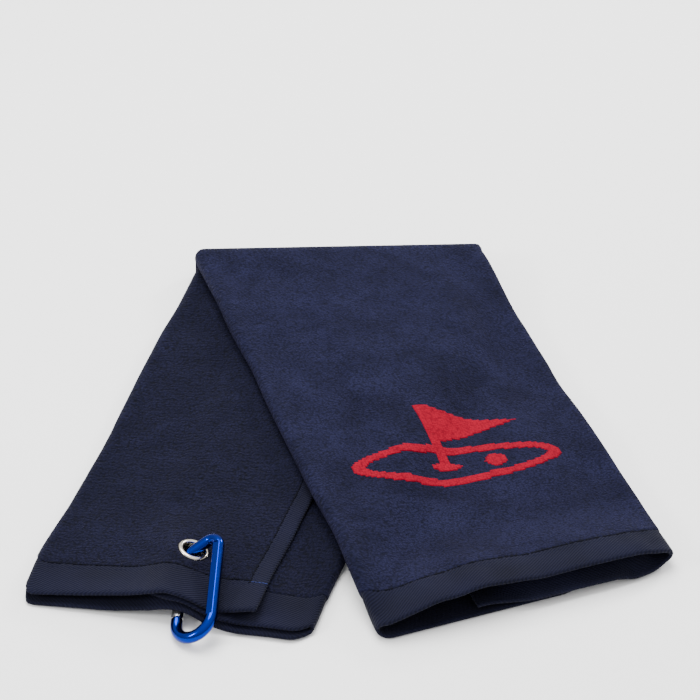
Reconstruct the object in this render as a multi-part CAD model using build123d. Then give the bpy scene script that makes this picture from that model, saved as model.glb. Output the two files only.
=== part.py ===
"""Golf towel: a terry strip folded in three lengthwise and once across, with a carabiner in its eyelet.

Millimetres, +Z up. The towel lies on the plane z = 0 with its crosswise fold at +Y and its two legs
splayed towards -Y. Everything is laid out from the left end of the crosswise fold, then moved so that
the origin is under the middle of the whole part.
"""
import os
from math import cos, radians, sin, tan

from build123d import *

# ---- the towel's plan: lengths in mm, directions in degrees from +X
FOLD_WIDTH, FOLD_DIRECTION = 157.0, 1.8
FRONT_LENGTH, FRONT_DIRECTION = 308.0, -71.5
FRONT_HEM_WIDTH, FRONT_HEM_DIRECTION = 156.0, 19.8
BACK_LENGTH, BACK_DIRECTION = 275.0, -105.2
BACK_HEM_WIDTH, BACK_HEM_DIRECTION = 141.0, -10.2

# ---- its cloth
TERRY = 3.2                  # thickness of one layer of terry
HEM_CLOTH = 2.4              # thickness of one layer of hem
LAYER_GAP = 0.1
LAYER_PITCH = TERRY + LAYER_GAP
STACK = 3 * LAYER_PITCH      # three layers, and the radius of the crosswise fold
HEM_TOP = STACK - LAYER_GAP / 2 - (TERRY - HEM_CLOTH) / 2
END_HEM = 20.0               # width of the bands across the two short ends
SIDE_HEM = 9.0               # width of the hems along the two long edges
LEFT_FLAP_SHARE = 0.80       # the third folded in from the left reaches this far across
RIGHT_FLAP_SHARE = 0.33      # the third folded in from the right starts here
BEND_SHARE = 0.03            # width of the turned edge that joins the left flap to the middle
STEP_START, STEP_RUN = 6.0, 36.0   # the front leg comes down from the back leg over this run
STEP_EASE = 0.4              # share of the run that each end of the step takes to turn
HEM_GAP = 0.002              # between the terry and the end hems, as a share along the leg
BEND_START = 0.05            # the left flap's turned edge starts this far along the leg
HAIR = 0.001                 # between the side hems and the terry, as a share across
SEAM_ENDS = 0.02             # the front seam stops short of the edges by this share
SIDE_SEAM_START = 0.45       # the side seam shows from here along the back leg
SEAM_WIDTH, SEAM_HEIGHT, SEAM_INSET = 0.8, 0.3, 2.0

# ---- the woven motif on the front leg, as shares across and along it
MOTIF_ACROSS = (0.14, 0.88)
MOTIF_ALONG = (0.49, 0.71)
MOTIF_HEIGHT = 0.3

# ---- the carabiner, drawn flat: x from its gate to its spine, y towards its top arm
BAR = 5.8                    # diameter of the bar
LOOP_WIDTH = 20.0            # from the gate's centre line to the spine's
SPINE_LENGTH = 40.5
TOP_RADIUS, NOSE_RADIUS = 5.0, 5.5
ARM_SLOPE = 24.0
SHOULDER = 2.4               # the bar stops here, under the gate's hinge
PIVOT = 5.6                  # the gate's hinge pin
NOSE_STEP = 1.3              # the bar goes on this far past the nose's bend
SPINE_FLAT_DEPTH = 0.5       # milled off the spine's upper face
CARABINER_AT = (2.1, -282.8, 3.5)
CARABINER_TILT = (30.0, 11.0, -3.2)   # the spine side raised, the arm raised, turned about z

# ---- the gate and what it holds
GATE_CLEARANCE = 0.45
TONGUE, SLOT = 2.2, 2.5      # thickness of the frame's tongues and width of the gate's slots
TONGUE_CORNER = 2.4          # the hinge tongue's square inner corner, which pushes the plunger
HINGE_SLOT_DEPTH = 3.9
RIVET_RADIUS, RIVET_BORE = 0.95, 1.0
LATCH_PIN_RADIUS = 0.8
LATCH_PIN_INSET = 2.6        # from the gate's tip
LATCH_HOOK = 4.4             # length of the hooked tongue on the nose
LATCH_GAP = 0.25
HOOK_WIDTH, HOOK_SHIFT = 3.4, -0.2
HOOK_ROOM = 0.4              # between the hook's end and its slot's floor
ROOT = 1.0                   # how far the tongues run into the bar
PLUNGER_RADIUS, PLUNGER_LENGTH = 1.05, 1.4
PLUNGER_GAP = 0.05           # to the tongue, with the gate shut
SPRING_BORE = 1.2
SPRING_WIRE, SPRING_RADIUS, SPRING_LENGTH, SPRING_TURNS = 0.17, 0.85, 7.0, 9
PLUNGER_TRAVEL = 0.85
SPRING_SEAT = 0.1            # spare length taken up at the bore's end

# ---- the eyelet, and the cloth pinched in it
HOLE_SHARE = 4.8             # where the top arm passes through, as the carabiner's x
EYELET_HOLE, WASHER_HOLE, EYELET_RADIUS = 5.4, 6.0, 7.6
EYELET_TILT, EYELET_TILT_TURN = 19.0, 16.0   # it leans with the arm, this far round from +X
CRIMP = 2.0                  # the three layers, crimped
CRIMP_GAP = 0.02
CRIMP_REACH = 1.2            # the crimped cloth runs this far past the flange
FLANGE, FLANGE_ROUND = 0.7, 0.42
BARREL_WALL, BARREL_ROOM = 0.35, 0.07
FLANGE_ROOM = 0.3
CLIP_CORNER = 3.0            # the three layers where they pass through the carabiner
CLIP_CORNER_PITCH = 7.0      # it falls towards the hem
CLIP_CORNER_REACH = 100.0    # along the leg, before it is cut to the pocket
# x and z of its middle on the line across the eyelet
CLIP_CORNER_RISE = ((-16, 6.6), (-8, 13.0), (0, 16.2), (8.5, 14.0), (20, 9.4), (38, 6.6))
CLIP_POCKET = (-16.0, 38.0)  # the flat cloth stops short of the carabiner's sweep
CLIP_POCKET_TOP = -227.5
CLIP_GAP = 0.5
FAR = 500.0


def polar(length, direction):
    return Vector(length * cos(radians(direction)), length * sin(radians(direction)))


FOLD = (Vector(0, 0), polar(FOLD_WIDTH, FOLD_DIRECTION))
FRONT_END = (polar(FRONT_LENGTH, FRONT_DIRECTION),
             polar(FRONT_LENGTH, FRONT_DIRECTION) + polar(FRONT_HEM_WIDTH, FRONT_HEM_DIRECTION))
BACK_END = (polar(BACK_LENGTH, BACK_DIRECTION),
            polar(BACK_LENGTH, BACK_DIRECTION) + polar(BACK_HEM_WIDTH, BACK_HEM_DIRECTION))
FOLD_AXIS = tuple(p + polar(STACK, FOLD_DIRECTION - 90) for p in FOLD)
LEG_ENDS = {"front": FRONT_END, "back": BACK_END}
HEM_START = {"front": 1 - END_HEM / (FRONT_LENGTH - STACK), "back": 1 - END_HEM / (BACK_LENGTH - STACK)}


# ---------------------------------------------------------------- cloth
def on_leg(leg, across, along):
    """The plan point at a share across a leg, from its left edge, and along it, from the fold."""
    top = FOLD_AXIS[0] + (FOLD_AXIS[1] - FOLD_AXIS[0]) * across
    end = LEG_ENDS[leg][0] + (LEG_ENDS[leg][1] - LEG_ENDS[leg][0]) * across
    return top + (end - top) * along


def prism(points, height=FAR):
    """A plan outline stood up from z = 0."""
    outline = Wire.make_polygon([(p.X, p.Y) for p in points], close=True)
    return extrude(Face(outline), height, dir=(0, 0, 1))


def leg_plan(leg, across, along):
    corners = [(across[0], along[0]), (across[1], along[0]), (across[1], along[1]), (across[0], along[1])]
    return prism([on_leg(leg, u, v) for u, v in corners])


def front_profile(low, high):
    """A layer of the front leg: level on the back leg, then down a soft step to the ground beside it."""
    edge = BACK_END[1] - FOLD[1]
    plane = Plane(origin=(FOLD[1].X, FOLD[1].Y, 0), x_dir=(-edge.Y, edge.X, 0), z_dir=(edge.X, edge.Y, 0))
    step_end = STEP_START + STEP_RUN
    lean = STEP_RUN * STEP_EASE

    def across(z):
        return [(STEP_START, z + STACK), (STEP_START + lean, z + STACK), (step_end - lean, z), (step_end, z)]

    with BuildSketch(plane) as section:
        with BuildLine():
            Line((-FAR, low + STACK), (STEP_START, low + STACK))
            Bezier(*across(low))
            Line((step_end, low), (FAR, low))
            Line((FAR, low), (FAR, high))
            Line((FAR, high), (step_end, high))
            Bezier(*across(high))
            Line((STEP_START, high + STACK), (-FAR, high + STACK))
            Line((-FAR, high + STACK), (-FAR, low + STACK))
        make_face()
    return extrude(section.sketch, FAR, both=True)


def slab(leg, low, high, across, along):
    """One layer over a stretch of a leg, from height low to height high above what the leg lies on."""
    plan = leg_plan(leg, across, along)
    if leg == "front":
        return plan & front_profile(low, high)
    level = Pos(0, 0, (low + high) / 2) * Box(2 * FAR, 2 * FAR, high - low)
    return (plan & level) - clip_pocket()


def clip_pocket(margin=0.0):
    """The plan room that the flat cloth leaves for the carabiner and the raised cloth in it."""
    left, right = CLIP_POCKET[0] + margin, CLIP_POCKET[1] - margin
    top = CLIP_POCKET_TOP - margin
    return prism([Vector(left, top), Vector(right, top), Vector(right, -FAR), Vector(left, -FAR)])


def fold_roll(inner, outer, across):
    """A layer's half ring round the crosswise fold, between two shares across the fold."""
    start = FOLD_AXIS[0] + (FOLD_AXIS[1] - FOLD_AXIS[0]) * across[0]
    length = FOLD_WIDTH * (across[1] - across[0])
    away = polar(1, FOLD_DIRECTION + 90)
    along = polar(1, FOLD_DIRECTION)
    plane = Plane(origin=(start.X, start.Y, STACK), x_dir=(away.X, away.Y, 0), z_dir=(along.X, along.Y, 0))
    ring = Circle(outer) - Circle(inner)
    half = ring & (Pos(FAR / 2, 0) * Rectangle(FAR, FAR))
    roll = extrude(plane * half, length)
    if roll.center().Z < 0:
        raise ValueError("the fold's roll points down")
    return roll


def panel(order, across, thickness=TERRY):
    """A third of the towel: its layer in both legs, and round the fold. order 0 is innermost there."""
    spare = (TERRY - thickness) / 2
    low = order * LAYER_PITCH + LAYER_GAP / 2 + spare
    back_low = STACK - low - thickness
    back = slab("back", back_low, back_low + thickness, across, (0, HEM_START["back"]))
    front = slab("front", low, low + thickness, across, (0, HEM_START["front"]))
    return back + fold_roll(low, low + thickness, across) + front


def end_hem(leg):
    """The band across one short end, folded in three with the towel and open towards the end."""
    along = (HEM_START[leg] + HEM_GAP, 1)
    spare = (TERRY - HEM_CLOTH) / 2
    lows = [order * LAYER_PITCH + LAYER_GAP / 2 + spare for order in range(3)]
    if leg == "back":
        lows = [STACK - low - HEM_CLOTH for low in lows]
    left_flap, right_flap, middle = lows
    band = slab(leg, left_flap, left_flap + HEM_CLOTH, (0, LEFT_FLAP_SHARE), along)
    band += slab(leg, right_flap, right_flap + HEM_CLOTH, (RIGHT_FLAP_SHARE, 1), along)
    band += slab(leg, middle, middle + HEM_CLOTH, (0, 1), along)
    band += slab(leg, min(lows), max(lows) + HEM_CLOTH, (0, BEND_SHARE), along)
    outer = (min(middle, right_flap), max(middle, right_flap) + HEM_CLOTH)
    return band + slab(leg, *outer, (1 - BEND_SHARE, 1), along)


def side_hem_shares(edge, inward):
    """The shares across that a side hem covers, from the flap's free edge inwards."""
    width = SIDE_HEM / FOLD_WIDTH
    return tuple(sorted((edge, edge + inward * width)))


def seam(leg, top, across, along):
    return slab(leg, top, top + SEAM_HEIGHT, across, along)


def end_seam(leg, across):
    """A row of stitches beside the hem's inner edge, on the layer that shows."""
    length = FRONT_LENGTH if leg == "front" else BACK_LENGTH
    start = HEM_START[leg] + SEAM_INSET / length
    return seam(leg, HEM_TOP, across, (start, start + SEAM_WIDTH / length))


# ---------------------------------------------------------------- carabiner, in its own flat frame
def carabiner_place():
    lift, rise, turn = CARABINER_TILT
    return (Pos(*CARABINER_AT) * Rot(0, 0, turn) * Rot(rise, 0, 0) * Rot(0, -lift, 0))


def arm_points():
    """The top arm's straight stretch, from the spine's corner to the nose's bend, and that bend's end."""
    turn = radians(90 + ARM_SLOPE)
    start = Vector(LOOP_WIDTH - TOP_RADIUS + TOP_RADIUS * cos(turn), SPINE_LENGTH + TOP_RADIUS * sin(turn))
    end_x = NOSE_RADIUS + NOSE_RADIUS * cos(turn)
    end = Vector(end_x, start.Y - (start.X - end_x) * tan(radians(ARM_SLOPE)))
    bend_y = end.Y - NOSE_RADIUS * sin(turn)
    return start, end, bend_y


ARM_START, ARM_END, NOSE_BEND = arm_points()
NOSE_Y = NOSE_BEND - NOSE_STEP
GATE_TIP = NOSE_Y - GATE_CLEARANCE
LATCH_Y = GATE_TIP - LATCH_PIN_INSET


def bar_path():
    half = LOOP_WIDTH / 2
    with BuildLine() as path:
        Line((0, SHOULDER), (0, 0))
        CenterArc((half, 0), half, 180, 180)
        Line((LOOP_WIDTH, 0), (LOOP_WIDTH, SPINE_LENGTH))
        CenterArc((LOOP_WIDTH - TOP_RADIUS, SPINE_LENGTH), TOP_RADIUS, 0, 90 + ARM_SLOPE)
        Line(ARM_START, ARM_END)
        CenterArc((NOSE_RADIUS, NOSE_BEND), NOSE_RADIUS, 90 + ARM_SLOPE, 90 - ARM_SLOPE)
        Line((0, NOSE_BEND), (0, NOSE_Y))
    return path.wires()[0]


def carabiner_frame():
    section = Plane(origin=(0, SHOULDER, 0), z_dir=(0, -1, 0)) * Circle(BAR / 2)
    bar = sweep(section, path=bar_path(), transition=Transition.ROUND)
    mill = Pos(LOOP_WIDTH, SPINE_LENGTH / 2, BAR - SPINE_FLAT_DEPTH) * Box(BAR + 1, SPINE_LENGTH + 2, BAR)
    stem = SHOULDER - ROOT
    hinge_tongue = Pos(0, (stem + PIVOT) / 2) * Box(2 * TONGUE_CORNER, PIVOT - stem, TONGUE)
    hinge_tongue += Pos(0, PIVOT) * Cylinder(TONGUE_CORNER, TONGUE)
    corner = TONGUE_CORNER / 2
    hinge_tongue += Pos(corner, PIVOT + corner) * Box(TONGUE_CORNER, TONGUE_CORNER, TONGUE)
    hook_low = NOSE_Y - LATCH_HOOK
    hook = Pos(HOOK_SHIFT, (hook_low + NOSE_Y + ROOT) / 2) * Box(HOOK_WIDTH, NOSE_Y + ROOT - hook_low, TONGUE)
    reach = LATCH_PIN_RADIUS + LATCH_GAP
    notch = Pos(0, LATCH_Y) * Cylinder(reach, BAR) + Pos(FAR / 2, LATCH_Y) * Box(FAR, 2 * reach, BAR)
    frame = bar - mill + hinge_tongue + (hook - notch)
    return frame - Pos(0, PIVOT) * Cylinder(RIVET_RADIUS, BAR)


def gate():
    """A round bar slotted at both ends, bored at the hinge end for the spring and its plunger."""
    low = SHOULDER + GATE_CLEARANCE
    body = Pos(0, (low + GATE_TIP) / 2) * Rot(90, 0, 0) * Cylinder(BAR / 2, GATE_TIP - low)
    swing_room = Pos(0, PIVOT) * Cylinder(PIVOT - low, BAR) + Pos(0, PIVOT + FAR / 2) * Box(FAR, FAR, BAR)
    body = body & swing_room
    hinge_slot = Pos(0, PIVOT + HINGE_SLOT_DEPTH - FAR / 2) * Box(FAR, FAR, SLOT)
    latch_slot = Pos(0, NOSE_Y - LATCH_HOOK - HOOK_ROOM + FAR / 2) * Box(FAR, FAR, SLOT)
    bore_end = PIVOT + TONGUE_CORNER + PLUNGER_LENGTH + PLUNGER_TRAVEL + SPRING_LENGTH
    bore = Pos(0, (PIVOT + bore_end) / 2) * Rot(90, 0, 0) * Cylinder(SPRING_BORE, bore_end - PIVOT)
    pins = Pos(0, PIVOT) * Cylinder(RIVET_BORE, BAR) + Pos(0, LATCH_Y) * Cylinder(LATCH_PIN_RADIUS, BAR)
    return body - hinge_slot - latch_slot - bore - pins


def hinge_rivet():
    """A pin flush with the gate's cheeks, held by the frame's tongue."""
    return Pos(0, PIVOT) * (Cylinder(RIVET_RADIUS, BAR) & (Rot(90, 0, 0) * Cylinder(BAR / 2, BAR)))


def latch_pin():
    return Pos(0, LATCH_Y) * (Cylinder(LATCH_PIN_RADIUS, BAR) & (Rot(90, 0, 0) * Cylinder(BAR / 2, BAR)))


PLUNGER_Y = PIVOT + TONGUE_CORNER + PLUNGER_GAP


def plunger():
    """A flat-faced pin that the tongue's corner pushes back as the gate opens."""
    return Pos(0, PLUNGER_Y + PLUNGER_LENGTH / 2) * Rot(90, 0, 0) * Cylinder(PLUNGER_RADIUS, PLUNGER_LENGTH)


def spring():
    start = PLUNGER_Y + PLUNGER_LENGTH + PLUNGER_TRAVEL - SPRING_SEAT
    height = SPRING_LENGTH - 4 * SPRING_WIRE
    coil = Helix(pitch=height / SPRING_TURNS, height=height, radius=SPRING_RADIUS)
    wire = sweep(Plane(coil @ 0, z_dir=coil % 0) * Circle(SPRING_WIRE), path=coil, is_frenet=True)
    return Pos(0, start + SPRING_WIRE, 0) * Rot(-90, 0, 0) * wire


# ---------------------------------------------------------------- eyelet and the cloth in the carabiner
def hole_centre():
    """Where the top arm's centre line passes through the eyelet."""
    y = ARM_END.Y + (HOLE_SHARE - ARM_END.X) * tan(radians(ARM_SLOPE))
    return (carabiner_place() * Pos(HOLE_SHARE, y, 0)).position


HOLE = hole_centre()


def eyelet_place():
    return Pos(HOLE.X, HOLE.Y, HOLE.Z) * Rot(0, 0, EYELET_TILT_TURN) * Rot(0, EYELET_TILT, 0)


def eyelet_flange():
    """The upper half: a rounded flange on a barrel that lines the hole."""
    half = CRIMP / 2
    barrel = Cylinder(EYELET_HOLE + BARREL_WALL, CRIMP + FLANGE) - Cylinder(EYELET_HOLE, CRIMP + 3 * FLANGE)
    disc = Cylinder(EYELET_RADIUS, FLANGE) - Cylinder(EYELET_HOLE, 3 * FLANGE)
    disc = Pos(0, 0, half + FLANGE / 2) * disc
    rim = disc.edges().filter_by(GeomType.CIRCLE).group_by(Axis.Z)[-1]
    disc = fillet(rim, FLANGE_ROUND)
    return disc + Pos(0, 0, FLANGE / 2) * barrel


def eyelet_washer():
    """The lower half, clenched over the end of the barrel."""
    low = -CRIMP / 2 - FLANGE / 2
    ring = Pos(0, 0, low) * (Cylinder(EYELET_RADIUS, FLANGE) - Cylinder(WASHER_HOLE, 3 * FLANGE))
    rim = ring.edges().filter_by(GeomType.CIRCLE).group_by(Axis.Z)[0]
    return fillet(rim, FLANGE_ROUND)


def clip_corner():
    """The three layers that pass through the carabiner, lifted by its gate and pinched at the eyelet."""
    with BuildSketch(Plane(origin=(0, HOLE.Y, 0), x_dir=(1, 0, 0), z_dir=(0, -1, 0))) as section:
        with BuildLine():
            lower = Spline(*[(x, z - CLIP_CORNER / 2) for x, z in CLIP_CORNER_RISE])
            upper = Spline(*[(x, z + CLIP_CORNER / 2) for x, z in CLIP_CORNER_RISE])
            Line(lower @ 0, upper @ 0)
            Line(lower @ 1, upper @ 1)
        make_face()
    fall = tan(radians(CLIP_CORNER_PITCH))
    sheet = extrude(section.sketch, CLIP_CORNER_REACH, dir=(0, -1, -fall))
    sheet += extrude(section.sketch, CLIP_CORNER_REACH, dir=(0, 1, fall))
    sheet = sheet & leg_plan("back", (0, 1), (0, 1)) & clip_pocket(CLIP_GAP)
    room = eyelet_place() * Cylinder(EYELET_RADIUS + FLANGE_ROOM, CLIP_CORNER_REACH)
    disc = Cylinder(EYELET_RADIUS + CRIMP_REACH, CRIMP - CRIMP_GAP)
    disc -= Cylinder(EYELET_HOLE + BARREL_WALL + BARREL_ROOM, CRIMP * 2)
    return sheet - room + eyelet_place() * disc


# ---------------------------------------------------------------- the nodes
def carabiner_part(solid):
    return carabiner_place() * solid


LEFT_HEM = side_hem_shares(LEFT_FLAP_SHARE, -1)
RIGHT_HEM = side_hem_shares(RIGHT_FLAP_SHARE, 1)


def left_flap():
    """The left third's terry, with the turned edge that joins it to the middle third in each leg."""
    flap = panel(0, (0, LEFT_HEM[0] - HAIR))
    flap += slab("back", LAYER_PITCH + LAYER_GAP, 2 * LAYER_PITCH + LAYER_GAP / 2, (0, BEND_SHARE),
                 (BEND_START, HEM_START["back"]))
    return flap + slab("front", LAYER_PITCH - LAYER_GAP / 2, 2 * LAYER_PITCH - LAYER_GAP, (0, BEND_SHARE),
                       (BEND_START, HEM_START["front"]))


def side_seam():
    start = LEFT_HEM[0] + SEAM_INSET / FOLD_WIDTH
    across = (start, start + SEAM_WIDTH / FOLD_WIDTH)
    return seam("back", HEM_TOP, across, (SIDE_SEAM_START, HEM_START["back"]))


NODES = {
    "middle_panel": panel(2, (0, 1)),
    "right_flap": panel(1, (RIGHT_HEM[1] + HAIR, 1)),
    "left_flap": left_flap(),
    "side_hem_left_flap": panel(0, LEFT_HEM, HEM_CLOTH),
    "side_hem_right_flap": panel(1, RIGHT_HEM, HEM_CLOTH),
    "end_hem_front": end_hem("front"),
    "end_hem_back": end_hem("back"),
    "stitching_front_hem": end_seam("front", (SEAM_ENDS, 1 - SEAM_ENDS)),
    "stitching_back_hem": end_seam("back", (SEAM_ENDS, LEFT_FLAP_SHARE)),
    "stitching_side_hem": side_seam(),
    "woven_motif": slab("front", STACK, STACK + MOTIF_HEIGHT, MOTIF_ACROSS, MOTIF_ALONG),
    "clip_corner": clip_corner(),
    "eyelet_flange": eyelet_place() * eyelet_flange(),
    "eyelet_washer": eyelet_place() * eyelet_washer(),
    "carabiner_frame": carabiner_part(carabiner_frame()),
    "gate_hinge_rivet": carabiner_part(hinge_rivet()),
    "carabiner_gate": carabiner_part(gate()),
    "gate_latch_pin": carabiner_part(latch_pin()),
    "gate_spring": carabiner_part(spring()),
    "gate_plunger": carabiner_part(plunger()),
}

WHOLE = Compound(children=[Compound(list(shape.solids())) for shape in NODES.values()]).bounding_box()
TO_ORIGIN = Pos(-(WHOLE.min.X + WHOLE.max.X) / 2, -(WHOLE.min.Y + WHOLE.max.Y) / 2, -WHOLE.min.Z)

if __name__ == "__main__":
    os.makedirs("parts", exist_ok=True)
    for node, shape in NODES.items():
        export_step(TO_ORIGIN * Compound(list(shape.solids())), f"parts/{node}.step")
    place = TO_ORIGIN * carabiner_place()
    print("size", WHOLE.size)
    print("origin moved by", TO_ORIGIN.position)
    print("eyelet centre", (TO_ORIGIN * eyelet_place()).position)
    print("gate pivot", (place * Pos(0, PIVOT)).position)
    print("gate axis", place.z_axis.direction)
    print("gate direction", place.y_axis.direction)
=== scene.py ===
"""Builds a folded golf towel with its hems, woven motif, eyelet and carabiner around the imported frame."""

from math import cos, pi, radians, sin

import bmesh
import bpy
import numpy as np
from bpy.props import FloatProperty, IntProperty, PointerProperty, StringProperty
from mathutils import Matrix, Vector


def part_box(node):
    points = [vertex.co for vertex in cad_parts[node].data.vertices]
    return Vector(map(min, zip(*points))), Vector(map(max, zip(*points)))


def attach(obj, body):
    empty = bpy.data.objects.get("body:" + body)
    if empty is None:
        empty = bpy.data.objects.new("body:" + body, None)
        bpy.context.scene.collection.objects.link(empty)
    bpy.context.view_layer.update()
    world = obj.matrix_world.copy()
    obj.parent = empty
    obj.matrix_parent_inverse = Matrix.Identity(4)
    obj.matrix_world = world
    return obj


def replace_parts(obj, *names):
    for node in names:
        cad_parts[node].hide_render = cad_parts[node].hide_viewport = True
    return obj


bl_info = {
    "name": "Golf towel",
    "version": (1, 0, 0),
    "blender": (4, 5, 0),
    "location": "View3D > Sidebar > Golf towel",
    "description": "Makes a folded terry golf towel with its clip, piece by piece",
    "category": "Object",
}

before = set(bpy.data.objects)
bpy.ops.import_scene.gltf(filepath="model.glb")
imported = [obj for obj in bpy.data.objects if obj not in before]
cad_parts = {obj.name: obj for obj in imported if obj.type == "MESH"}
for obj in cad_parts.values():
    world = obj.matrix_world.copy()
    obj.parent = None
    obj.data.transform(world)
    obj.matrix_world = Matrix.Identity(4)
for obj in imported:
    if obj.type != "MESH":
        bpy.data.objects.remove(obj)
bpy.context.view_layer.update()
MM = 0.001

# ---- the towel's plan in mm, with directions in degrees from +X
FOLD_LEFT = np.array((-86.2, 146.1))     # left end of the crosswise fold
FOLD_WIDTH, FOLD_DIRECTION = 157.0, 1.8
LEG_LENGTH = {"front": 308.0, "back": 275.0}
LEG_DIRECTION = {"front": -71.5, "back": -105.2}
HEM_WIDTH = {"front": 156.0, "back": 141.0}
HEM_DIRECTION = {"front": 19.8, "back": -10.2}
LEFT_FLAP_SHARE, RIGHT_FLAP_SHARE = 0.80, 0.33
EYELET_LEAN, EYELET_LEAN_TURN = 19.0, 16.0      # it leans to the right, this far round from +X
EYELET_UP = np.array((sin(radians(EYELET_LEAN)) * cos(radians(EYELET_LEAN_TURN)),
                      sin(radians(EYELET_LEAN)) * sin(radians(EYELET_LEAN_TURN)), cos(radians(EYELET_LEAN))))
EYELET_BOX = [np.array(corner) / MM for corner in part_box("eyelet_flange")]
EYELET = (EYELET_BOX[0] + EYELET_BOX[1]) / 2 - 0.35 * EYELET_UP   # the middle of the crimped cloth

# ---- how the back leg's hem lies, in mm: (distance right of the eyelet, height)
HEM_EDGE_UNDERSIDE = ((-80, 0.1), (-61, 0.9), (-39, 1.8), (-20, 5.2), (-11, 7.6), (-2, 7.6),
                      (6, 3.6), (16, 0.8), (24, 0.2), (37, 0.8), (48, 0.6), (59, 0.2))
HEM_EDGE_TOP = ((-80, 6.6), (-57, 10.4), (-30, 15.0), (-12, 20.0), (-3, 17.4), (4, 13.4),
                (8, 10.8), (15, 10.4), (22, 12.6), (33, 15.4), (42, 12.0), (56, 9.0))
EYELET_LINE_UNDERSIDE = ((-80, 0.0), (-53, 1.0), (-25, 5.2), (-17, 11.4), (-9, 14.8), (0, 12.8),
                         (12, 8.4), (30, 3.0), (44, 0.0), (60, 0.0))
EYELET_LINE_TOP = ((-80, 9.9), (-53, 10.2), (-25, 11.6), (-17, 14.9), (-9, 17.9), (0, 14.9),
                   (12, 11.6), (30, 10.4), (44, 9.9), (60, 9.9))
# ---- how far the front hem's upper layer stands open, in mm: (distance right of the hem's left end, height)
FRONT_ARCH = ((0, 0), (9, 5), (31, 10.8), (58, 11.0), (86, 7.4), (111, 8.8), (138, 9.0), (151, 5), (157, 0))
LIFT_FADE = 42.0                          # the cloth lies flat again this far above the eyelet
HEM_CORNER = {"front": (3.0, 3.0), "back": (2.5, 8.0)}   # the hem's left and right corners draw in by this
BACK_FLARE = 4.0                          # the back hem's left corner spreads this far
FOLD_EDGE = 0.1                           # the left folded edge's share of the strip's width
EYELET_HOLE, HOLE_RIM = 5.9, 6.6          # the hole cut in the cloth, and the radius its rim is pulled to
HEM_TUCK = 1.2                            # of each hem under the pile's edge
OUTER_SEAM, INNER_SEAM = 2.0, 2.2         # the end hems' seams lie this far in from their two edges


# ================================================================ settings
class TowelSettings(bpy.types.PropertyGroup):
    """Sizes of the cloth that a user would change."""
    terry: FloatProperty(name="Terry thickness", description="One layer of terry, pile included",
                         default=3.2 * MM, unit="LENGTH")
    hem: FloatProperty(name="Hem thickness", description="One layer of the flat-woven hem",
                       default=2.2 * MM, unit="LENGTH")
    pitch: FloatProperty(name="Layer pitch", description="From one folded layer to the next",
                         default=3.3 * MM, unit="LENGTH")
    end_hem: FloatProperty(name="End hem", description="Width of the bands across the short ends",
                           default=20.0 * MM, unit="LENGTH")
    side_hem: FloatProperty(name="Side hem", description="Width of the hems along the long edges",
                            default=9.0 * MM, unit="LENGTH")
    mesh_step: FloatProperty(name="Mesh step", description="Distance between the cloth's mesh lines",
                             default=2.6 * MM, unit="LENGTH")
    hem_arch: FloatProperty(name="Hem arch", description="How far the front hem stands open, as a share",
                            default=1.0)
    hummock: FloatProperty(name="Hummocks", description="Height of the soft unevenness of the cloth",
                           default=1.1 * MM, unit="LENGTH")


class TrimSettings(bpy.types.PropertyGroup):
    """Sizes of the sewing and of the woven motif."""
    stitch: FloatProperty(name="Stitch length", description="From one needle hole to the next",
                          default=2.6 * MM, unit="LENGTH")
    thread: FloatProperty(name="Thread", description="Thickness of the sewing thread",
                          default=0.45 * MM, unit="LENGTH")
    tuft: FloatProperty(name="Tuft", description="Size of the pile's tufts along the hems",
                        default=1.1 * MM, unit="LENGTH")
    motif_cell: FloatProperty(name="Motif cell", description="One step of the jacquard's outline",
                              default=1.2 * MM, unit="LENGTH")
    motif_width: FloatProperty(name="Motif width", description="Width of the woven motif",
                               default=112.0 * MM, unit="LENGTH")
    seed: IntProperty(name="Seed", description="Seed of everything uneven", default=7)


class ColourSettings(bpy.types.PropertyGroup):
    """Colours as sRGB hex values."""
    terry: StringProperty(name="Terry", description="Navy of the lit pile", default="#1A1B33")
    # painted shade: the navy the pile is mixed toward in random patches and over the back leg, for nap lying
    # away from the light
    terry_painted_shade: StringProperty(name="Terry shade", description="Navy where the nap lies away",
                                default="#0F1023")
    twill: StringProperty(name="Hem twill", description="Navy of the flat hem", default="#121325")
    motif: StringProperty(name="Motif", description="Red of the woven motif", default="#820620")
    anodised: StringProperty(name="Carabiner", description="Dye of the anodised bar", default="#072480")
    aluminium: StringProperty(name="Gate", description="Bare aluminium of the gate", default="#C9CACC")
    nickel: StringProperty(name="Eyelet", description="Nickel plate of the eyelet", default="#CFC7BB")
    floor: StringProperty(name="Floor", description="The pale floor", default="#FAFAFA")


# ================================================================ small helpers
def linear(hex_colour):
    """An sRGB hex value as linear RGBA."""
    shares = [int(hex_colour[i:i + 2], 16) / 255 for i in (1, 3, 5)]
    return [s / 12.92 if s <= 0.04045 else ((s + 0.055) / 1.055) ** 2.4 for s in shares] + [1.0]


def add_node(tree, kind, inputs=None, **settings):
    """Adds a node, sets its properties, and fills its inputs with values or links other sockets to them."""
    node = tree.nodes.new(kind)
    for key, value in settings.items():
        setattr(node, key, value)
    for key, value in (inputs or {}).items():
        if isinstance(value, bpy.types.NodeSocket):
            tree.links.new(value, node.inputs[key])
        else:
            node.inputs[key].default_value = value
    return node


def ease(low, high, x):
    """From 0 below low to 1 above high, with soft ends."""
    share = np.clip((x - low) / (high - low), 0, 1)
    return share * share * (3 - 2 * share)


def blend(a, b, share):
    """a at share 0, b at share 1."""
    return a + (b - a) * share


def towards(degrees):
    """The unit vector in the plan at this direction."""
    return np.array((cos(radians(degrees)), sin(radians(degrees))))


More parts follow.
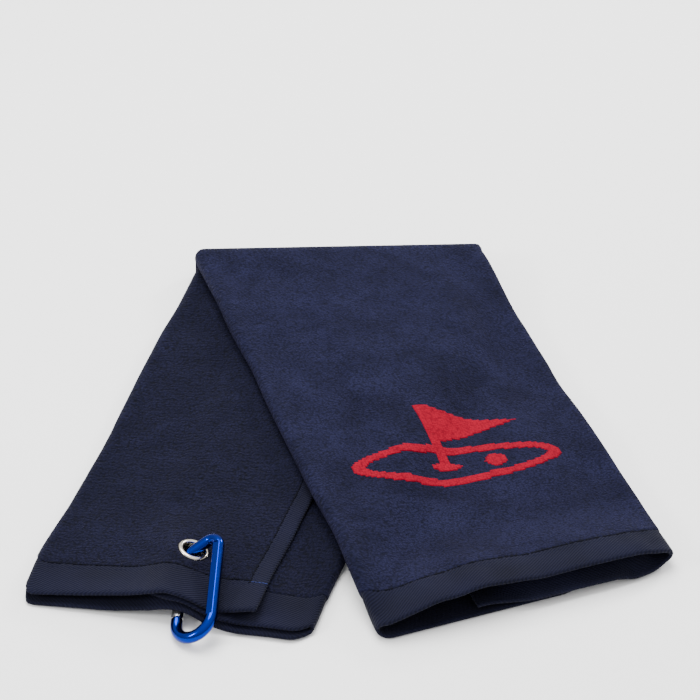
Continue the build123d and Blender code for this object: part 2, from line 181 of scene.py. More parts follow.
def hills(x, y, size, seed):
    """Smooth random hills about size mm across, from -1 to 1, the same on every run."""
    lattice = np.random.default_rng(seed).uniform(-1, 1, (64, 64))
    grid_x, grid_y = x / size + 32, y / size + 32
    col, row = np.floor(grid_x).astype(int), np.floor(grid_y).astype(int)
    across, up = ease(0, 1, grid_x - col), ease(0, 1, grid_y - row)

    def corner(dx, dy):
        return lattice[(col + dx) % 64, (row + dy) % 64]

    return blend(blend(corner(0, 0), corner(1, 0), across), blend(corner(0, 1), corner(1, 1), across), up)


def soft_profile(x, knots, reach=7.0, step=0.5):
    """Heights along a line through the knots, with its corners softened over reach mm."""
    fine = np.arange(knots[0][0] - 3 * reach, knots[-1][0] + 3 * reach, step)
    window = np.hanning(2 * int(reach / step) + 1)
    heights = np.interp(fine, *zip(*knots))
    return np.interp(x, fine, np.convolve(heights, window / window.sum(), mode="same"))


def spaced(start, stop, step, fine=()):
    """Distances from start to stop, closer in the fine stretches and at the rounded ends."""
    marks = [start]
    while marks[-1] < stop - step * 0.6:
        here = marks[-1]
        close = any(low - step < here < high for low, high in fine)
        marks.append(here + (step / 2 if close else step))
    marks = [m for m in marks if start + 1.8 < m < stop - 1.8]
    rim = [0.0, 0.25, 0.8, 1.7]
    return np.array([start + r for r in rim] + marks + [stop - r for r in reversed(rim)])


def between_layers(first, second, third, order):
    """The value at order 0, 1 or 2, or in between."""
    return np.where(order < 1, blend(first, second, order), blend(second, third, order - 1))


# ================================================================ the folded cloth
class Fold:
    """Where each point of the flat towel lies once it is folded in three and then across.

    s runs across the flat towel from the left flap's free edge, t along it from the front hem's edge.
    order is 0 for the left flap, 1 for the right flap and 2 for the middle third.
    """

    def __init__(self, towel):
        self.pitch = towel.pitch / MM
        self.stack = 3 * self.pitch
        self.half = self.pitch / 2
        self.arch = towel.hem_arch           # as a share of FRONT_ARCH
        self.hummock = towel.hummock / MM
        self.left_bend = self.pitch + self.half
        self.right_bend = FOLD_WIDTH - self.half - self.half
        self.left_run = LEFT_FLAP_SHARE * FOLD_WIDTH - self.left_bend
        self.left_arc = pi * self.pitch
        self.middle_run = self.right_bend - self.left_bend
        self.right_arc = pi * self.half
        self.right_run = self.right_bend - RIGHT_FLAP_SHARE * FOLD_WIDTH
        self.width = self.left_run + self.left_arc + self.middle_run + self.right_arc + self.right_run
        self.front = LEG_LENGTH["front"] - self.stack
        self.roll = pi * self.stack / 2
        self.back = LEG_LENGTH["back"] - self.stack
        self.length = self.front + self.roll + self.back
        fold_right = FOLD_LEFT + FOLD_WIDTH * towards(FOLD_DIRECTION)
        inward = self.stack * towards(FOLD_DIRECTION - 90)
        self.axis = (FOLD_LEFT + inward, fold_right + inward)
        self.ends = {}
        for leg in ("front", "back"):
            left = FOLD_LEFT + LEG_LENGTH[leg] * towards(LEG_DIRECTION[leg])
            self.ends[leg] = (left, left + HEM_WIDTH[leg] * towards(HEM_DIRECTION[leg]))
        edge = self.ends["back"][1] - fold_right
        edge = edge / np.hypot(*edge)
        self.back_edge = (fold_right, np.array((-edge[1], edge[0])))

    def cross(self, s):
        """The share across the folded strip and the layer's order, from s."""
        marks = np.cumsum((0, self.left_run, self.left_arc, self.middle_run, self.right_arc, self.right_run))
        on = [(s >= low) & (s <= high) for low, high in zip(marks[:-1], marks[1:])]
        left_turn = (s - marks[1]) / self.pitch
        right_turn = (s - marks[3]) / self.half
        x = np.select(on, [LEFT_FLAP_SHARE * FOLD_WIDTH - s,
                           self.left_bend - self.pitch * np.sin(left_turn),
                           self.left_bend + s - marks[2],
                           self.right_bend + self.half * np.sin(right_turn),
                           self.right_bend - (s - marks[4])])
        order = np.select(on, [0 * s, 1 - np.cos(left_turn), 0 * s + 2,
                               1.5 + 0.5 * np.cos(right_turn), 0 * s + 1])
        return x / FOLD_WIDTH, order

    def bends(self):
        """The stretches of s that turn round the two lengthwise folds."""
        right = self.width - self.right_run
        return [(self.left_run, self.left_run + self.left_arc), (right - self.right_arc, right)]

    def plan(self, leg, u, v, order=1.0):
        """The plan point at share u across a leg and share v along it, with edges that wander a little."""
        top = self.axis[0] + np.multiply.outer(u, self.axis[1] - self.axis[0])
        end = self.ends[leg][0] + np.multiply.outer(u, self.ends[leg][1] - self.ends[leg][0])
        near = ease(0.75, 1.0, v)
        slip = self.slip(leg, u, order)
        left_corner, right_corner = HEM_CORNER[leg]
        corner = left_corner * (1 - ease(0, 0.05, u)) + right_corner * ease(0.9, 1.02, u) ** 2
        reach = LEG_LENGTH[leg] - self.stack
        point = top + (end - top) * (v + near * (slip - corner) / reach)[..., None]
        if leg == "back":
            point[..., 0] -= BACK_FLARE * (1 - ease(0, 0.35, u)) * ease(0.55, 1.0, v)
        wander = hills(v * 9, u * 1.5, 1.0, 3 if leg == "front" else 4) * 0.9 * ease(0.02, 0.2, v)
        return point[..., 0] + wander, point[..., 1]

    @staticmethod
    def slip(leg, u, order):
        """How much further than its cut each layer's hem reaches, in mm, for the three orders in turn."""
        right = ease(0.5, 0.72, u)
        if leg == "back":
            layers = (0 * u - 2.2, 2.3 * right - 2.0 - 8.0 * (1 - ease(0.33, 0.52, u)), 2.8 * right)
        else:
            flap = 4.4 * ease(0.36, 0.52, u) * (1 - ease(0.85, 1.0, u)) - 1.2
            layers = (-7.5 * ease(0.6, 0.8, u), flap, 0 * u)
        return between_layers(*layers, order)

    def sag(self, u, v):
        """How far a layer sinks where a flap is missing under it: left of the right flap, and right of the
        left flap."""
        share = ease(0.0, 0.1, v) * self.pitch * 0.55
        left = (1 - ease(RIGHT_FLAP_SHARE - 0.07, RIGHT_FLAP_SHARE + 0.01, u)) * ease(0.0, 0.09, u)
        right = ease(LEFT_FLAP_SHARE - 0.02, LEFT_FLAP_SHARE + 0.06, u) * (1 - ease(0.91, 1.0, u))
        return share * left, share * right

    def waves(self, x, y, v):
        """Soft hummocks, none of them at the crosswise fold."""
        return self.hummock * ease(0.0, 0.12, v) * (
            hills(x, y, 46, 11) + 0.35 * hills(x, y, 17, 12) + 0.14 * hills(x, y, 7, 13)
            + 0.1 * hills(x, y, 3.4, 14))

    def front_heights(self, u, v, order):
        """Plan points and heights of the front leg, which steps down off the back leg's right edge."""
        x, y = self.plan("front", u, v, order)
        edge_point, edge_outward = self.back_edge
        away = (x - edge_point[0]) * edge_outward[0] + (y - edge_point[1]) * edge_outward[1]
        base = self.stack * (1 - ease(5, 35, away))
        base = base * (1 - 0.75 * ease(0.93, 1.0, v) * (1 - ease(0.0, 0.25, u)))
        sag_left, sag_right = self.sag(u, v)
        arch = self.arch * soft_profile(u * FOLD_WIDTH, FRONT_ARCH) * ease(0.80, 1.0, v)
        waves = self.waves(x, y, v)
        low = base + self.half + 0.25 * np.maximum(waves, 0)
        middle = base + self.pitch + self.half - 1.5 * sag_right + 0.1 * arch + 0.5 * waves
        high = base + 2 * self.pitch + self.half - sag_left + arch + waves
        high = high - sag_right * (1 - 0.7 * ease(0.8, 1.0, v))
        curl = ease(0.36, 0.52, u) * (1 - ease(0.88, 1.0, u))     # the right flap rises behind its own hem
        curl = curl * ease(0.80, 0.93, v) * (1 - ease(0.945, 1.0, v))
        middle = blend(middle, high - self.pitch, 0.9 * curl)
        z = between_layers(low, middle, high, order)
        # the left bend joins the lowest layer straight to the highest
        z = np.where(u < FOLD_EDGE, blend(low, high, order / 2), z)
        return x, y, z, np.ones_like(z)

    def back_heights(self, u, v, order):
        """Plan points and heights of the back leg, with its hump at the clip and the cloth pinched in the
        eyelet, and how squeezed the layers are."""
        x, y = self.plan("back", u, v, order)
        right_of = x - EYELET[0]
        hem_left, hem_right = self.ends["back"]
        slope = (hem_right - hem_left)[1] / (hem_right - hem_left)[0]
        hem_y = hem_left[1] + (x - hem_left[0]) * slope
        below = np.clip((EYELET[1] - y) / (EYELET[1] - hem_y), 0, 1)
        above = ease(0, LIFT_FADE, y - EYELET[1])
        waves = self.waves(x, y, v) * (1 - ease(-20, 0, EYELET[1] + 26 - y))
        low = blend(soft_profile(right_of, EYELET_LINE_UNDERSIDE),
                    soft_profile(right_of, HEM_EDGE_UNDERSIDE), below)
        high = blend(soft_profile(right_of, EYELET_LINE_TOP), soft_profile(right_of, HEM_EDGE_TOP), below)
        low = blend(low, 0, above)
        high = blend(high, self.stack, above) + waves
        radius = np.hypot(right_of, y - EYELET[1])
        lean = towards(EYELET_LEAN_TURN) * np.tan(radians(EYELET_LEAN))
        disc = EYELET[2] - right_of * lean[0] - (y - EYELET[1]) * lean[1]
        pinch = 1 - ease(8.0, 13.5, radius)
        low, high = blend(low, disc - 1.0, pinch), blend(high, disc + 1.0, pinch)
        sag_left, sag_right = self.sag(u, v)
        free = (1 - pinch) * (1 - ease(0.7, 0.9, v))
        squeeze = np.clip((high - low) / self.stack, 0.15, 1.0)
        lowest, highest = low + self.half * squeeze, high - self.half * squeeze
        middle = low + 3 * self.half * squeeze
        z = between_layers(highest, middle, lowest, order)
        z = np.where(u < FOLD_EDGE, blend(highest, lowest, order / 2), z)
        z -= np.where(order < 0.5, sag_left, 0) * free + np.where(order < 1.5, sag_right, 0) * free * 0.3
        return x, y, z, squeeze

    def lay(self, s, t):
        """Points (mm) of the layer's middle for every s and t, how squeezed it is there, and its leg."""
        u, order = self.cross(s)
        u, t = np.meshgrid(u, t)
        order = np.broadcast_to(order, u.shape)
        on_front = t <= self.front
        on_back = t >= self.front + self.roll
        v_front = np.clip(1 - t / self.front, 0, 1)
        v_back = np.clip((t - self.front - self.roll) / self.back, 0, 1)
        turn = np.clip((t - self.front) / self.roll, 0, 1) * pi
        front = self.front_heights(u, v_front, order)
        back = self.back_heights(u, v_back, order)
        radius = order * self.pitch + self.half
        away = towards(FOLD_DIRECTION + 90)
        bulge = radius * np.sin(turn)
        top_x, top_y = self.plan("front", u, 0 * u)
        rolled = (top_x + away[0] * bulge, top_y + away[1] * bulge, self.stack + radius * np.cos(turn),
                  np.ones_like(u))
        x, y, z, squeeze = (np.select([on_front, on_back], [f, b], r) for f, b, r in zip(front, back, rolled))
        return np.stack((x, y, z), -1), squeeze, turn / pi

    def shares_of(self, leg, point):
        """The shares across and along a leg nearest to a plan point."""
        u, v = np.meshgrid(np.linspace(0, 1, 300), np.linspace(0, 1, 500))
        x, y = self.plan(leg, u, v)
        best = np.argmin(np.hypot(x - point[0], y - point[1]))
        return u.flat[best], v.flat[best]


def surface_normals(points):
    """Unit normals of a grid of points."""
    down, across = np.gradient(points, axis=(0, 1))
    normal = np.cross(across, down)
    return normal / np.maximum(np.linalg.norm(normal, axis=-1, keepdims=True), 1e-9)


def make_shell(name, points, thickness, keep, uv, attributes, material):
    """A closed cloth shell about a grid of points (mm). Faces outside keep are left out, and the upper and
    lower sides meet all round the border, where the thickness comes down to nothing."""
    rows, cols = points.shape[:2]
    inner = np.zeros((rows, cols), bool)
    inner[1:-1, 1:-1] = keep[:-1, :-1] & keep[:-1, 1:] & keep[1:, :-1] & keep[1:, 1:]
    normal = surface_normals(points)
    offset = normal * (np.where(inner, thickness, 0) / 2)[..., None]
    upper_index = np.arange(rows * cols).reshape(rows, cols)
    lower_index = np.where(inner, upper_index + rows * cols, upper_index)
    coords = np.concatenate(((points + offset).reshape(-1, 3), (points - offset).reshape(-1, 3))) * MM
    quads = []
    for index, order in ((upper_index, (0, 1, 2, 3)), (lower_index, (3, 2, 1, 0))):
        corners = [index[:-1, :-1], index[1:, :-1], index[1:, 1:], index[:-1, 1:]]
        quads.append(np.stack([corners[k][keep] for k in order], -1))
    quads = np.concatenate(quads)
    used, flat = np.unique(quads, return_inverse=True)
    quads = flat.reshape(quads.shape)
    coords = coords[used]
    a, b, c, d = (coords[quads[:, k]] for k in range(4))
    if np.sum(np.einsum("ij,ij->i", a, np.cross(b, c)) + np.einsum("ij,ij->i", a, np.cross(c, d))) < 0:
        quads = quads[:, ::-1]
    mesh = bpy.data.meshes.new(name)
    mesh.from_pydata(coords.tolist(), [], quads.tolist())
    flat_uv = (np.concatenate((uv.reshape(-1, 2), uv.reshape(-1, 2))) * MM)[used]
    layer = mesh.uv_layers.new(name="cloth")
    layer.data.foreach_set("uv", flat_uv[quads.reshape(-1)].astype(np.float32).ravel())
    for label, values in attributes.items():
        attribute = mesh.attributes.new(label, "FLOAT", "POINT")
        doubled = np.concatenate((values.ravel(), values.ravel()))[used]
        attribute.data.foreach_set("value", doubled.astype(np.float32))
    mesh.shade_smooth()
    mesh.materials.append(material)
    piece = bpy.data.objects.new(name, mesh)
    bpy.context.scene.collection.objects.link(piece)
    return piece


def rounded(thickness, s, t):
    """The thickness over a strip, rounded off at all four borders like a cut pile."""
    reach = thickness / 2
    from_side = np.minimum(s - s[0], s[-1] - s)
    from_end = np.minimum(t - t[0], t[-1] - t)
    near = np.minimum(*np.meshgrid(from_side, from_end))
    return thickness * np.sqrt(1 - (1 - np.clip(near / reach, 0, 1)) ** 2)


def cloth_strip(name, fold, s, t, thickness, material):
    """A stretch of the folded cloth as a closed piece, with the eyelet's hole through it."""
    points, squeeze, leg = fold.lay(s, t)
    from_eyelet = points[..., :2] - EYELET[:2]
    radius = np.hypot(from_eyelet[..., 0], from_eyelet[..., 1])
    inside = (radius < EYELET_HOLE) & (leg > 0.99)
    hit = inside[:-1, :-1] | inside[1:, :-1] | inside[1:, 1:] | inside[:-1, 1:]
    rim = np.zeros_like(inside)
    for rows in (slice(0, -1), slice(1, None)):
        for cols in (slice(0, -1), slice(1, None)):
            rim[rows, cols] |= hit
    rim &= ~inside
    pull = np.where(rim, HOLE_RIM / np.maximum(radius, 1e-6), 1.0)[..., None]
    points[..., :2] = EYELET[:2] + from_eyelet * pull
    uv = np.stack(np.meshgrid(s, t), -1)
    return make_shell(name, points, rounded(thickness, s, t) * squeeze, ~hit, uv, {"leg": leg}, material)


def hand_over(piece, slot, *nodes):
    """The piece lies on the towel's body and stands for its CAD nodes."""
    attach(piece, "towel")
    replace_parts(piece, *nodes)
    return piece


# ================================================================ materials
def new_material(name, base, roughness, **inputs):
    """A material with its node tree, its shader, and its shader's own constants."""
    material = bpy.data.materials.new(name)
    material.use_nodes = True
    tree = material.node_tree
    shader = tree.nodes["Principled BSDF"]
    shader.inputs["Base Color"].default_value = linear(base)
    shader.inputs["Roughness"].default_value = roughness
    for key, value in inputs.items():
        shader.inputs[key.replace("_", " ")].default_value = value
    return material, tree, shader


def cloth_position(tree, turn=0.0):
    """The place on the flat towel in mm, from the cloth's own map."""
    place = add_node(tree, "ShaderNodeUVMap", uv_map="cloth")
    return add_node(tree, "ShaderNodeMapping", {"Vector": place.outputs["UV"], "Scale": (1000, 1000, 1000),
                                                "Rotation": (0, 0, radians(turn))}).outputs["Vector"]


def velour_terry(colours):
    """Cotton terry with its loops sheared: dull and soft-edged. Its colour carries painted shade: random
    patches mix a lit and a shaded navy as nap lying either way takes the light, the back leg is painted
    darker as nap lying away from the light, and the gaps between loops are painted near black. To show, loops
    are drawn 1.2 mm apart where real ones stand about 0.75 mm apart. The back leg also has faint rows 2.6 mm
    apart."""
    material, tree, shader = new_material("sheared cotton terry", colours.terry, 0.95, Sheen_Weight=0.07,
                                          Sheen_Roughness=0.45, Sheen_Tint=linear("#8480B0"),
                                          Specular_IOR_Level=0.08)
    at = cloth_position(tree)
    patches = add_node(tree, "ShaderNodeTexNoise", {
        "Vector": at, "Scale": 1 / 26, "Detail": 5.0, "Roughness": 0.62, "Distortion": 0.6})
    grain = add_node(tree, "ShaderNodeTexNoise", {
        "Vector": at, "Scale": 1 / 1.3, "Detail": 3.0, "Roughness": 0.7})
    loops = add_node(tree, "ShaderNodeTexVoronoi", {"Vector": at, "Scale": 1 / 1.2, "Randomness": 0.85})
    rows = add_node(tree, "ShaderNodeTexWave", {
        "Vector": at, "Scale": 0.12243, "Distortion": 9.0, "Detail": 3.0,
        "Detail Scale": 1.2}, bands_direction="Y")
    leg = add_node(tree, "ShaderNodeAttribute", attribute_name="leg")
    lie = add_node(tree, "ShaderNodeMapRange", {
        "Value": patches.outputs["Fac"], "From Min": 0.33, "From Max": 0.67})
    speckle = add_node(tree, "ShaderNodeMapRange", {
        "Value": grain.outputs["Fac"], "From Min": 0.3, "From Max": 0.7, "To Min": -0.5, "To Max": 0.5})
    mixed = add_node(tree, "ShaderNodeMath", {0: lie.outputs["Result"], 1: speckle.outputs["Result"]})
    # painted shade: the back leg is pushed toward the shaded navy, on top of the random lit and shaded
    # patches
    away = add_node(tree, "ShaderNodeMath", {
        0: leg.outputs["Fac"], 1: -0.42, 2: mixed.outputs[0]}, operation="MULTIPLY_ADD", use_clamp=True)
    colour = add_node(tree, "ShaderNodeMix", {
        "Factor": away.outputs[0], "A": linear(colours.terry_painted_shade),
        "B": linear(colours.terry)}, data_type="RGBA")
    # painted shade: the gaps between loops darken toward near black, and the back leg is darkened further
    dark = add_node(tree, "ShaderNodeMapRange", {
        "Value": loops.outputs["Distance"], "From Min": 0.35, "From Max": 0.85, "To Min": 0.0,
        "To Max": 0.7})
    dark = add_node(tree, "ShaderNodeMath", {
        0: leg.outputs["Fac"], 1: 0.27,
        2: dark.outputs["Result"]}, operation="MULTIPLY_ADD", use_clamp=True)
    colour_with_painted_shade = add_node(tree, "ShaderNodeMix", {
        "Factor": dark.outputs[0], "A": colour.outputs["Result"],
        "B": linear("#06070F")}, data_type="RGBA")
    tree.links.new(colour_with_painted_shade.outputs["Result"], shader.inputs["Base Color"])
    row_share = add_node(tree, "ShaderNodeMath", {
        0: rows.outputs["Fac"], 1: leg.outputs["Fac"]}, operation="MULTIPLY")
    height = add_node(tree, "ShaderNodeMath", {
        0: loops.outputs["Distance"], 1: -0.8, 2: grain.outputs["Fac"]}, operation="MULTIPLY_ADD")
    height = add_node(tree, "ShaderNodeMath", {
        0: row_share.outputs[0], 1: 0.3, 2: height.outputs[0]}, operation="MULTIPLY_ADD")
    bump = add_node(tree, "ShaderNodeBump", {
        "Height": height.outputs[0], "Strength": 0.9, "Distance": 0.0007})
    tree.links.new(bump.outputs["Normal"], shader.inputs["Normal"])
    return material


def hem_twill(colours):
    """Cotton twill: flat and fine, with slanting ribs. They are drawn 1.35 mm apart, half as much
    again as the real spacing, to show."""
    material, tree, shader = new_material("cotton twill", colours.twill, 0.9, Sheen_Weight=0.03,
                                          Sheen_Roughness=0.5, Specular_IOR_Level=0.06)
    slant = cloth_position(tree, turn=52)
    at = cloth_position(tree)
    ribs = add_node(tree, "ShaderNodeTexWave", {
        "Vector": slant, "Scale": 0.235, "Distortion": 1.1, "Detail": 2.0,
        "Detail Scale": 2.0}, bands_direction="X")
    fibres = add_node(tree, "ShaderNodeTexNoise", {"Vector": at, "Scale": 1 / 1.2, "Detail": 3.0})
    patches = add_node(tree, "ShaderNodeTexNoise", {"Vector": at, "Scale": 1 / 30, "Detail": 2.0})
    # painted shade: the dark navy in the grooves between the slanting ribs; the random patches vary the tone
    shade = add_node(tree, "ShaderNodeMath", {
        0: ribs.outputs["Fac"], 1: 0.42, 2: patches.outputs["Fac"]}, operation="MULTIPLY_ADD")
    shade = add_node(tree, "ShaderNodeMapRange", {
        "Value": shade.outputs[0], "From Min": 0.3, "From Max": 1.0})
    colour = add_node(tree, "ShaderNodeMix", {
        "Factor": shade.outputs["Result"], "A": linear("#090A14"),
        "B": linear(colours.twill)}, data_type="RGBA")
    tree.links.new(colour.outputs["Result"], shader.inputs["Base Color"])
    height = add_node(tree, "ShaderNodeMath", {
        0: fibres.outputs["Fac"], 1: 0.35, 2: ribs.outputs["Fac"]}, operation="MULTIPLY_ADD")
    bump = add_node(tree, "ShaderNodeBump", {
        "Height": height.outputs[0], "Strength": 0.6, "Distance": 0.0004})
    tree.links.new(bump.outputs["Normal"], shader.inputs["Normal"])
    return material


def motif_yarn(colours):
    """Dyed cotton pile of the jacquard: bright and dull, in short rows, with painted shade darkening the pits
    between the tufts.
    """
    material, tree, shader = new_material("red jacquard pile", colours.motif, 0.9, Specular_IOR_Level=0.06)
    at = cloth_position(tree)
    tufts = add_node(tree, "ShaderNodeTexVoronoi", {"Vector": at, "Scale": 1 / 1.3, "Randomness": 0.6})
    patches = add_node(tree, "ShaderNodeTexNoise", {"Vector": at, "Scale": 1 / 6, "Detail": 4.0})
    # painted shade: the pits between the tufts are mixed toward a dark red
    pit = add_node(tree, "ShaderNodeMapRange", {
        "Value": tufts.outputs["Distance"], "From Min": 0.4, "From Max": 0.95, "To Max": 0.6})
    tone = add_node(tree, "ShaderNodeMix", {
        "Factor": patches.outputs["Fac"], "A": linear("#70061A"),
        "B": linear("#900A24")}, data_type="RGBA")
    colour = add_node(tree, "ShaderNodeMix", {
        "Factor": pit.outputs["Result"], "A": tone.outputs["Result"],
        "B": linear("#34040E")}, data_type="RGBA")
    tree.links.new(colour.outputs["Result"], shader.inputs["Base Color"])
    height = add_node(tree, "ShaderNodeMath", {0: tufts.outputs["Distance"], 1: -1.0}, operation="MULTIPLY")
    bump = add_node(tree, "ShaderNodeBump", {
        "Height": height.outputs[0], "Strength": 0.7, "Distance": 0.0005})
    tree.links.new(bump.outputs["Normal"], shader.inputs["Normal"])
    return material


def sewing_thread(name, colour):
    """Spun polyester thread: a dull bead with a faint twist."""
    material, tree, shader = new_material(name, colour, 0.85, Specular_IOR_Level=0.08)
    place = add_node(tree, "ShaderNodeTexCoord")
    twist = add_node(tree, "ShaderNodeTexNoise", {"Vector": place.outputs["Object"], "Scale": 3500.0})
    bump = add_node(tree, "ShaderNodeBump", {
        "Height": twist.outputs["Fac"], "Strength": 0.4, "Distance": 0.0001})
    tree.links.new(bump.outputs["Normal"], shader.inputs["Normal"])
    return material


def worked_metal(name, colour, roughness, grit, relief, stretch=(1, 1, 1), glint_colour="#FFFFFF"):
    """A bare, plated or dyed metal: its roughness wavers, and fine marks of its finishing catch the light,
    with painted glints tinting them lighter.
    grit is the marks' spacing in mm and relief their depth in mm."""
    material, tree, shader = new_material(name, colour, roughness, Metallic=1.0)
    place = add_node(tree, "ShaderNodeTexCoord")
    at = add_node(tree, "ShaderNodeMapping", {
        "Vector": place.outputs["Object"], "Scale": tuple(1000 * k for k in stretch)})
    marks = add_node(tree, "ShaderNodeTexNoise", {
        "Vector": at.outputs["Vector"], "Scale": 1 / grit, "Detail": 3.0})
    smears = add_node(tree, "ShaderNodeTexNoise", {
        "Vector": at.outputs["Vector"], "Scale": 1 / 7, "Detail": 4.0})
    gloss = add_node(tree, "ShaderNodeMapRange", {
        "Value": smears.outputs["Fac"], "From Min": 0.3, "From Max": 0.7, "To Min": roughness * 0.8,
        "To Max": roughness * 1.25})
    tree.links.new(gloss.outputs["Result"], shader.inputs["Roughness"])
    # painted glint: the marks' colour is tinted toward a lighter one
    glint_share = add_node(tree, "ShaderNodeMapRange", {
        "Value": marks.outputs["Fac"], "From Min": 0.55, "From Max": 0.8, "To Max": 0.18})
    colour_mix = add_node(tree, "ShaderNodeMix", {
        "Factor": glint_share.outputs["Result"], "A": linear(colour), "B": linear(glint_colour)}, data_type="RGBA")
    tree.links.new(colour_mix.outputs["Result"], shader.inputs["Base Color"])
    bump = add_node(tree, "ShaderNodeBump", {
        "Height": marks.outputs["Fac"], "Strength": 0.1, "Distance": relief * MM})
    tree.links.new(bump.outputs["Normal"], shader.inputs["Normal"])
    return material


# ================================================================ sewing along a path
def sewing_tree(material):
    """Geometry Nodes: a bead at every step of a path, laid along it, each a little different."""
    tree = bpy.data.node_groups.new("sew along a path", "GeometryNodeTree")
    tree.interface.new_socket("Path", in_out="INPUT", socket_type="NodeSocketGeometry")
    for label in ("Step", "Length", "Width", "Height", "Unevenness"):
        tree.interface.new_socket(label, in_out="INPUT", socket_type="NodeSocketFloat")
    tree.interface.new_socket("Seed", in_out="INPUT", socket_type="NodeSocketInt")
    tree.interface.new_socket("Beads", in_out="OUTPUT", socket_type="NodeSocketGeometry")
    given = add_node(tree, "NodeGroupInput").outputs
    curve = add_node(tree, "GeometryNodeMeshToCurve", {"Mesh": given["Path"]})
    steps = add_node(tree, "GeometryNodeResampleCurve", {
        "Curve": curve.outputs["Curve"], "Length": given["Step"]}, mode="LENGTH")
    bead = add_node(tree, "GeometryNodeMeshIcoSphere", {"Radius": 0.5, "Subdivisions": 1})
    size = add_node(tree, "ShaderNodeCombineXYZ", {
        "X": given["Length"], "Y": given["Width"], "Z": given["Height"]})
    less = add_node(tree, "ShaderNodeMath", {0: 1.0, 1: given["Unevenness"]}, operation="SUBTRACT")
    vary = add_node(tree, "FunctionNodeRandomValue", {
        2: less.outputs[0], 3: 1.0, "Seed": given["Seed"]}, data_type="FLOAT")
    scale = add_node(tree, "ShaderNodeVectorMath", {
        0: size.outputs["Vector"], "Scale": vary.outputs[1]}, operation="SCALE")
    along = add_node(tree, "GeometryNodeInputTangent")
    turned = add_node(tree, "FunctionNodeAlignRotationToVector", {
        "Vector": along.outputs["Tangent"]}, axis="X")
    sewn = add_node(tree, "GeometryNodeInstanceOnPoints", {
        "Points": steps.outputs["Curve"], "Instance": bead.outputs["Mesh"],
        "Rotation": turned.outputs["Rotation"], "Scale": scale.outputs["Vector"]})
    real = add_node(tree, "GeometryNodeRealizeInstances", {"Geometry": sewn.outputs["Instances"]})
    painted = add_node(tree, "GeometryNodeSetMaterial", {
        "Geometry": real.outputs["Geometry"], "Material": material})
    add_node(tree, "NodeGroupOutput", {"Beads": painted.outputs["Geometry"]})
    return tree


def sew(name, paths, material, **sizes):
    """Beads along each path (points in mm) as one plain mesh."""
    mesh = bpy.data.meshes.new(name)
    points, edges = [], []
    for path in paths:
        edges += [(len(points) + i, len(points) + i + 1) for i in range(len(path) - 1)]
        points += [tuple(p * MM) for p in path]
    mesh.from_pydata(points, edges, [])
    piece = bpy.data.objects.new(name, mesh)
    bpy.context.scene.collection.objects.link(piece)
    modifier = piece.modifiers.new("sewing", "NODES")
    modifier.node_group = sewing_tree(material)
    for socket in modifier.node_group.interface.items_tree:
        if socket.in_out == "INPUT" and socket.name in sizes:
            modifier[socket.identifier] = sizes[socket.name]
    bpy.context.view_layer.update()
    evaluated = piece.evaluated_get(bpy.context.evaluated_depsgraph_get())
    beads = bpy.data.meshes.new_from_object(evaluated)
    piece.modifiers.remove(modifier)
    piece.data = beads
    piece.data.shade_smooth()
    if not len(beads.polygons):
        raise RuntimeError(f"{name}: nothing was sewn")
    return piece


def seam_path(fold, s, t, thickness, lift):
    """Points on the outside of a layer along a line of the flat towel, given as lists of s and t."""
    centre, squeeze, _ = fold.lay(np.atleast_1d(s), np.atleast_1d(t))
    line = centre.reshape(-1, 3)
    squeeze = squeeze.reshape(-1)
    return [point + np.array((0, 0, thickness / 2 * k + lift)) for point, k in zip(line, squeeze)]


# ================================================================ the woven motif
def in_motif(x, y):
    """A golf flag in its hole on a ringed green, with a ball, in mm from the motif's lower left corner."""
    ground, stick_x, pennant_end = 15, 50, 99

    def in_ellipse(centre, half_width, half_height):
        return ((x - centre) / half_width) ** 2 + ((y - ground) / half_height) ** 2 < 1

    green = in_ellipse(56, 55, 14.8) & ~in_ellipse(56, 47, 8.8)
    hole = in_ellipse(stick_x, 8.5, 3.0)
    stick = (abs(x - stick_x) < 2.6) & (y > ground - 1) & (y < 59.5)
    pennant = (x > stick_x) & (x < pennant_end) & (abs(y - 46) < (pennant_end - x) * 0.275)
    ball = in_ellipse(76, 5.8, 5.8 / 1.1)
    return green | hole | stick | pennant | ball


# ================================================================ operators
class GOLFTOWEL_OT_sheet(bpy.types.Operator):
    """Folds the terry sheet in three and across, with its fold, step, clip hump and eyelet hole"""
    bl_idname = "golftowel.sheet"
    bl_label = "Terry sheet"

    def execute(self, context):
        towel, colours = context.scene.golf_towel, context.scene.golf_towel_colours
        fold = Fold(towel)
        side, end, step = towel.side_hem / MM, towel.end_hem / MM, towel.mesh_step / MM
        u, v = fold.shares_of("back", EYELET[:2])
        across, along = u * FOLD_WIDTH, fold.front + fold.roll + v * fold.back
        columns = (LEFT_FLAP_SHARE * FOLD_WIDTH - across,
                   fold.left_run + fold.left_arc + across - fold.left_bend)
        bends = fold.bends()
        near = 14.0                         # the mesh is finer this near the eyelet
        s = spaced(side, fold.width - side, step, [(c - near, c + near) for c in columns] + bends)
        t = spaced(end, fold.length - end, step,
                   [(fold.front, fold.front + fold.roll), (along - near, along + near)])
        sheet = cloth_strip("terry_sheet", fold, s, t, towel.terry / MM, velour_terry(colours))
        hand_over(sheet, "terry", "middle_panel", "right_flap", "left_flap", "clip_corner")
        return {"FINISHED"}


